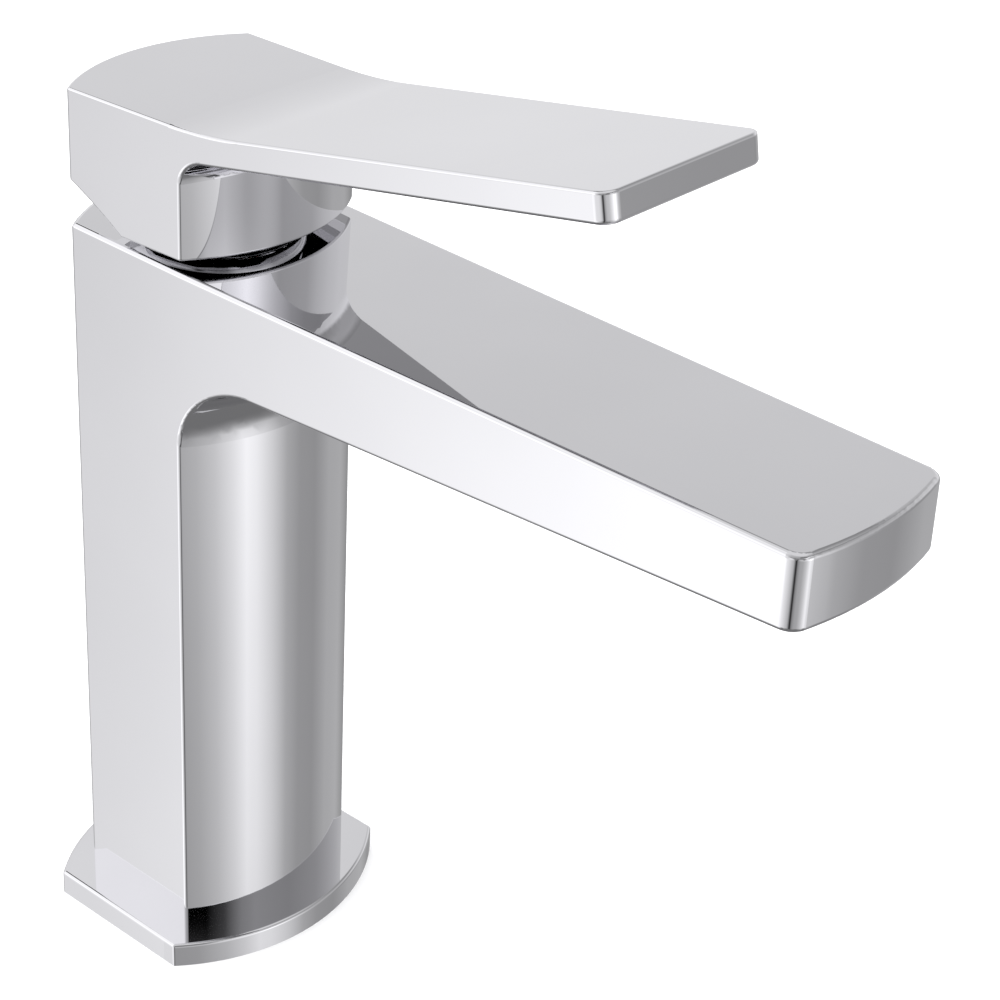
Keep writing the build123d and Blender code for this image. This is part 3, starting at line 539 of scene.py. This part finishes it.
@dataclass(frozen=True)
class Studio:
    """Soft surroundings, a pale floor, one overhead softbox and the camera.

    A span is a range of one part of a direction, x, y or z, over which something fades in.

    Args:
        low, middle, upper, crown: the rings, from under the level to high up.
        middle_span, upper_span, crown_span: heights over which each ring takes over from the one below.
        zenith, zenith_span: brightness straight up, and where it takes over.
        underfoot, underfoot_span: brightness straight down, and where the low ring takes over from it.
        front_span, near_span: x and y over which the front begins and the near side ends.
        low_lift, low_pivot: how fast the low ring brightens upwards in front, and the height it turns on.
        back_drop, back_pivot: how fast the low ring darkens upwards behind, and the height it turns on.
        middle_base, middle_drop: the middle ring's strength at the level, and how fast it falls.
        dip, dip_span: how much darker the middle ring is near the front, and the heights where that ends.
        cast: colour of all the light.
        floor_light: the even light that dull surfaces get.
        floor_radius, floor_segments, floor_tones, floor_cloud, floor_roughness: the floor's disc and look.
        softbox_size, softbox_energy, softbox_place: the lamp, in metres and watts.
        azimuth, elevation, roll: the camera's angles, in degrees.
        lens, sensor: its focal length and sensor width, in millimetres.
        clip: nearest and farthest distance it sees, in metres.
        shift: how far the picture's centre is moved, in picture widths.
        eye: where the camera stands, in metres.
    """

    low: Ring = LOW_RING
    middle: Ring = MIDDLE_RING
    middle_span: Span = (-0.15, 0.15)
    upper: Ring = UPPER_RING
    upper_span: Span = (0.47, 0.56)
    crown: Ring = CROWN_RING
    crown_span: Span = (0.62, 0.67)
    zenith: float = 0.80
    zenith_span: Span = (0.77, 0.90)
    underfoot: float = 0.19
    underfoot_span: Span = (-0.88, -0.58)
    front_span: Span = (-0.3, 0.2)
    near_span: Span = (0.12, 0.50)
    low_lift: float = 1.15
    low_pivot: float = -0.48
    back_drop: float = 0.45
    back_pivot: float = -0.40
    middle_base: float = 1.30
    middle_drop: float = 0.72
    dip: float = 0.50
    dip_span: Span = (0.32, 0.42)
    cast: Colour = (1.0, 1.0, 1.012)
    floor_light: float = 1.45
    floor_radius: float = 5.0
    floor_segments: int = 96
    floor_tones: tuple[Colour, Colour] = ((0.90, 0.90, 0.90), (0.93, 0.93, 0.93))
    floor_cloud: float = 3.0
    floor_roughness: float = 0.9
    softbox_size: float = 1.2
    softbox_energy: float = 12.0
    softbox_place: Triple = (0.2, -0.3, 1.6)
    azimuth: float = 42.441
    elevation: float = 27.443
    roll: float = 1.698
    lens: float = 91.83
    sensor: float = 36.0
    clip: Span = (0.01, 50.0)
    shift: Pair = (0.10, -0.07)
    eye: Triple = (0.29359, -0.27289, 0.30433)

    def surroundings(self) -> None:
        """Fills the world: rings of light and shade for reflections, an even light for dull surfaces."""
        world = bpy.data.worlds.new("studio")
        bpy.context.scene.world = world
        world.use_nodes = True
        shader = Shader(world.node_tree)
        direction = shader.node("ShaderNodeTexCoord").outputs["Generated"]
        x, y, z = shader.parts(direction)
        azimuth = shader.value("ShaderNodeMath", {"operation": "ARCTAN2"}, {0: y, 1: x})
        azimuth = azimuth * (0.5 / math.pi) + 0.5
        front = x.fade(*self.front_span)
        near_front = front * (1.0 - y.fade(*self.near_span))
        low = self.low.level(shader, azimuth) * (1.0 + self.low_lift * (z - self.low_pivot) * near_front)
        low = low * (1.0 - self.back_drop * (z - self.back_pivot) * (1.0 - front))
        low = low + (self.underfoot - low) * (1.0 - z.fade(*self.underfoot_span))
        middle = self.middle.level(shader, azimuth) * (self.middle_base - self.middle_drop * z)
        middle = middle * (1.0 - self.dip * near_front * (1.0 - z.fade(*self.dip_span)))
        upper = self.upper.level(shader, azimuth)
        crown = self.crown.level(shader, azimuth)
        level = low + (middle - low) * z.fade(*self.middle_span)
        level = level + (upper - level) * z.fade(*self.upper_span)
        level = level + (crown - level) * z.fade(*self.crown_span)
        level = level + (self.zenith - level) * z.fade(*self.zenith_span)
        path = shader.node("ShaderNodeLightPath")
        glossy = Value(shader, path.outputs["Is Glossy Ray"])
        level = glossy * level + (1.0 - glossy) * self.floor_light
        background = {"Color": (*self.cast, 1.0), "Strength": level}
        light = shader.node("ShaderNodeBackground", {}, background)
        shader.node("ShaderNodeOutputWorld", {}, {"Surface": light.outputs["Background"]})

    def floor(self) -> None:
        """Lays the pale floor."""
        material, shader = new_material("studio_floor")
        shade = shader.mix(shader.noise(self.floor_cloud), *self.floor_tones)
        shader.surface({"Base Color": shade, "Roughness": self.floor_roughness})
        mesh = bpy.data.meshes.new("floor")
        shape = bmesh.new()
        bmesh.ops.create_circle(
            shape, cap_ends=True, segments=self.floor_segments, radius=self.floor_radius,
        )
        shape.to_mesh(mesh)
        shape.free()
        mesh.materials.append(material)
        floor = bpy.data.objects.new("floor", mesh)
        bpy.context.scene.collection.objects.link(floor)
        floor.visible_glossy = False

    def softbox(self) -> None:
        """Hangs one large soft light overhead."""
        lamp = bpy.data.lights.new("softbox", "AREA")
        lamp.shape = "DISK"
        lamp.size = self.softbox_size
        lamp.energy = self.softbox_energy
        light = bpy.data.objects.new("softbox", lamp)
        light.location = self.softbox_place
        light.visible_glossy = False
        bpy.context.scene.collection.objects.link(light)

    def camera(self) -> None:
        """Sets the camera, looking down at the spout's near side."""
        lens = bpy.data.cameras.new("camera")
        lens.lens = self.lens
        lens.sensor_width = self.sensor
        lens.shift_x, lens.shift_y = self.shift
        lens.clip_start, lens.clip_end = self.clip
        camera = bpy.data.objects.new("camera", lens)
        side, lift, roll = (math.radians(angle) for angle in (self.azimuth, self.elevation, self.roll))
        back = Vector((math.sin(side) * math.cos(lift), -math.cos(side) * math.cos(lift), math.sin(lift)))
        right = Vector((math.cos(side), math.sin(side), 0.0))
        upward = back.cross(right)
        turned_right = math.cos(roll) * right + math.sin(roll) * upward
        turned_up = -math.sin(roll) * right + math.cos(roll) * upward
        turn = Matrix((turned_right, turned_up, back)).transposed().to_4x4()
        camera.matrix_world = Matrix.Translation(self.eye) @ turn
        bpy.context.scene.collection.objects.link(camera)
        bpy.context.scene.camera = camera

    def build(self) -> None:
        """Makes the whole studio."""
        self.surroundings()
        self.floor()
        self.softbox()
        self.camera()
        bpy.context.scene.view_settings.view_transform = "Standard"
        log.info("studio ready")


# ---------------------------------------------------------------- the mixer's assemblies
class Slot(Enum):
    """The kinds of stuff that the mixer is made of, by the record's slot names."""

    CHROME_BODY = "chrome_body"
    CHROME_LEVER = "chrome_lever"
    CHROME_TRIM = "chrome_trim"
    BLACK_RUBBER = "black_rubber"
    GREY_PLASTIC = "grey_plastic"
    PALE_PLASTIC = "pale_plastic"
    WHITE_PLASTIC = "white_plastic"
    RED_PLASTIC = "red_plastic"
    INDEX_PLASTIC = "index_plastic"
    WHITE_CERAMIC = "white_ceramic"
    DARK_CERAMIC = "dark_ceramic"
    BRASS = "brass"
    STEEL = "steel"
    STEEL_MESH = "steel_mesh"


@dataclass
class Assembly:
    """Pieces that are fitted together; each kind of assembly adds its finishes and its fitting list."""

    def finishes(self) -> dict[Slot, Finish]:
        """The finishes that the assembly's pieces have."""
        raise NotImplementedError

    def fitting_list(self) -> dict[str, Slot]:
        """What each piece is made of."""
        raise NotImplementedError

    def dress(self) -> None:
        """Gives every piece of the assembly its finish."""
        made = {slot: finish.material() for slot, finish in self.finishes().items()}
        for node, slot in self.fitting_list().items():
            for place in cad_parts[node].material_slots:
                place.material = made[slot]
            log.info("%s: %s dressed in %s", type(self).__name__, node, made[slot].name)


@dataclass
class BodyAndSpout(Assembly):
    """The chromed casting and the plate it stands on.

    Args:
        taper: how fast each flank closes in towards the spout's tip.
        bend_x: where that starts, in metres.
    """

    taper: float = 0.0223
    bend_x: float = 0.0129

    def finishes(self) -> dict[Slot, Finish]:
        """Chrome with the flank's slow curve; the plate shares it."""
        chrome = PolishedChrome("chrome_on_brass", bend_x=self.bend_x, bend_slope=self.taper)
        return {Slot.CHROME_BODY: chrome}

    def fitting_list(self) -> dict[str, Slot]:
        """Both pieces are chromed brass."""
        return dict.fromkeys(("body_casting", "base_flange"), Slot.CHROME_BODY)


@dataclass
class Lever(Assembly):
    """The lever with what holds it on the spindle, and the plug at its back.

    Args:
        mark_line: half width of the pale line between the plug's two colours, in metres.
    """

    mark_line: float = 0.00025

    def finishes(self) -> dict[Slot, Finish]:
        """Chrome, steel and enamel."""
        return {
            Slot.CHROME_LEVER: PolishedChrome("chrome_on_zinc", ripple=0.0000008),
            Slot.STEEL: Turned("screw_steel", STEEL_TINT),
            Slot.INDEX_PLASTIC: IndexMark("index_enamel", self.mark_line),
        }

    def fitting_list(self) -> dict[str, Slot]:
        """What the lever, its screw and its plug are made of."""
        return {
            "lever_handle": Slot.CHROME_LEVER,
            "grub_screw": Slot.STEEL,
            "index_plug": Slot.INDEX_PLASTIC,
        }


@dataclass
class Cartridge(Assembly):
    """The ceramic-disc cartridge, its clamping nut, its trim ring and its spindle.

    Args:
        nut_pitch: distance between the cutter's rings on the brass, in metres.
        ring_tint: reflectance of the trim ring, darker than the casting's.
        ring_ripple: height in metres of the waves that pressing left in the trim ring.
    """

    nut_pitch: float = 0.00030
    ring_tint: Colour = (0.62, 0.62, 0.635)
    ring_ripple: float = 0.000060

    def finishes(self) -> dict[Slot, Finish]:
        """Plastics, ceramics, brass, steel and the ring's chrome."""
        return {
            Slot.CHROME_TRIM: PolishedChrome(
                "chrome_on_pressed_ring", tint=self.ring_tint, ripple=self.ring_ripple, ripple_scale=210.0,
            ),
            Slot.GREY_PLASTIC: Moulded("cartridge_grey", (0.40, 0.41, 0.43)),
            Slot.WHITE_PLASTIC: Moulded("carrier_white", (0.80, 0.80, 0.78)),
            Slot.RED_PLASTIC: Moulded("limiter_red", (0.50, 0.05, 0.04)),
            Slot.WHITE_CERAMIC: Lapped("alumina_white", (0.82, 0.81, 0.78)),
            Slot.DARK_CERAMIC: Lapped("alumina_dark", (0.16, 0.16, 0.18)),
            Slot.BRASS: Turned("turned_brass", (0.72, 0.52, 0.25), pitch=self.nut_pitch),
            Slot.STEEL: Turned("pin_steel", STEEL_TINT),
        }

    def fitting_list(self) -> dict[str, Slot]:
        """What each of the cartridge's pieces is made of."""
        return {
            "trim_ring": Slot.CHROME_TRIM,
            "cartridge_base": Slot.GREY_PLASTIC,
            "cartridge_housing": Slot.GREY_PLASTIC,
            "spindle_guide": Slot.WHITE_PLASTIC,
            "disc_carrier": Slot.WHITE_PLASTIC,
            "limit_ring": Slot.RED_PLASTIC,
            "fixed_disc": Slot.WHITE_CERAMIC,
            "moving_disc": Slot.DARK_CERAMIC,
            "cartridge_nut": Slot.BRASS,
            "spindle": Slot.BRASS,
            "pivot_pin": Slot.STEEL,
        }


@dataclass
class Aerator(Assembly):
    """The recessed aerator under the spout's tip.

    Args:
        axis_x: where its upright axis stands, in metres.
        weave: distance between the screen's marks, in metres.
    """

    axis_x: float = 0.118
    weave: float = 0.00040

    def finishes(self) -> dict[Slot, Finish]:
        """Pale plastic and woven steel."""
        return {
            Slot.PALE_PLASTIC: Moulded("aerator_acetal", (0.70, 0.70, 0.68)),
            Slot.STEEL_MESH: Turned("screen_steel", (0.60, 0.60, 0.61), self.axis_x, self.weave),
        }

    def fitting_list(self) -> dict[str, Slot]:
        """What the aerator's pieces are made of."""
        plastic = dict.fromkeys(("aerator_housing", "aerator_core", "flow_regulator"), Slot.PALE_PLASTIC)
        return plastic | {"aerator_mesh": Slot.STEEL_MESH}


@dataclass
class Seals(Assembly):
    """Every rubber ring and gasket.

    Args:
        skin: height of the moulded texture, in metres.
    """

    skin: float = 0.000012

    def finishes(self) -> dict[Slot, Finish]:
        """Matt black rubber."""
        return {Slot.BLACK_RUBBER: Moulded("nitrile_rubber", (0.03, 0.03, 0.03), 0.7, self.skin)}

    def fitting_list(self) -> dict[str, Slot]:
        """All of them are rubber."""
        ports = ("hot_port_seal", "cold_port_seal", "outlet_port_seal")
        return dict.fromkeys(("base_gasket", "flange_seal", *ports, "aerator_washer"), Slot.BLACK_RUBBER)


def main() -> None:
    """Builds the studio and dresses the mixer, one assembly at a time."""
    Studio().build()
    for assembly in (BodyAndSpout(), Lever(), Cartridge(), Aerator(), Seals()):
        assembly.dress()


if __name__ == "__main__":
    logging.basicConfig(level=logging.INFO, format="%(message)s")
    main()
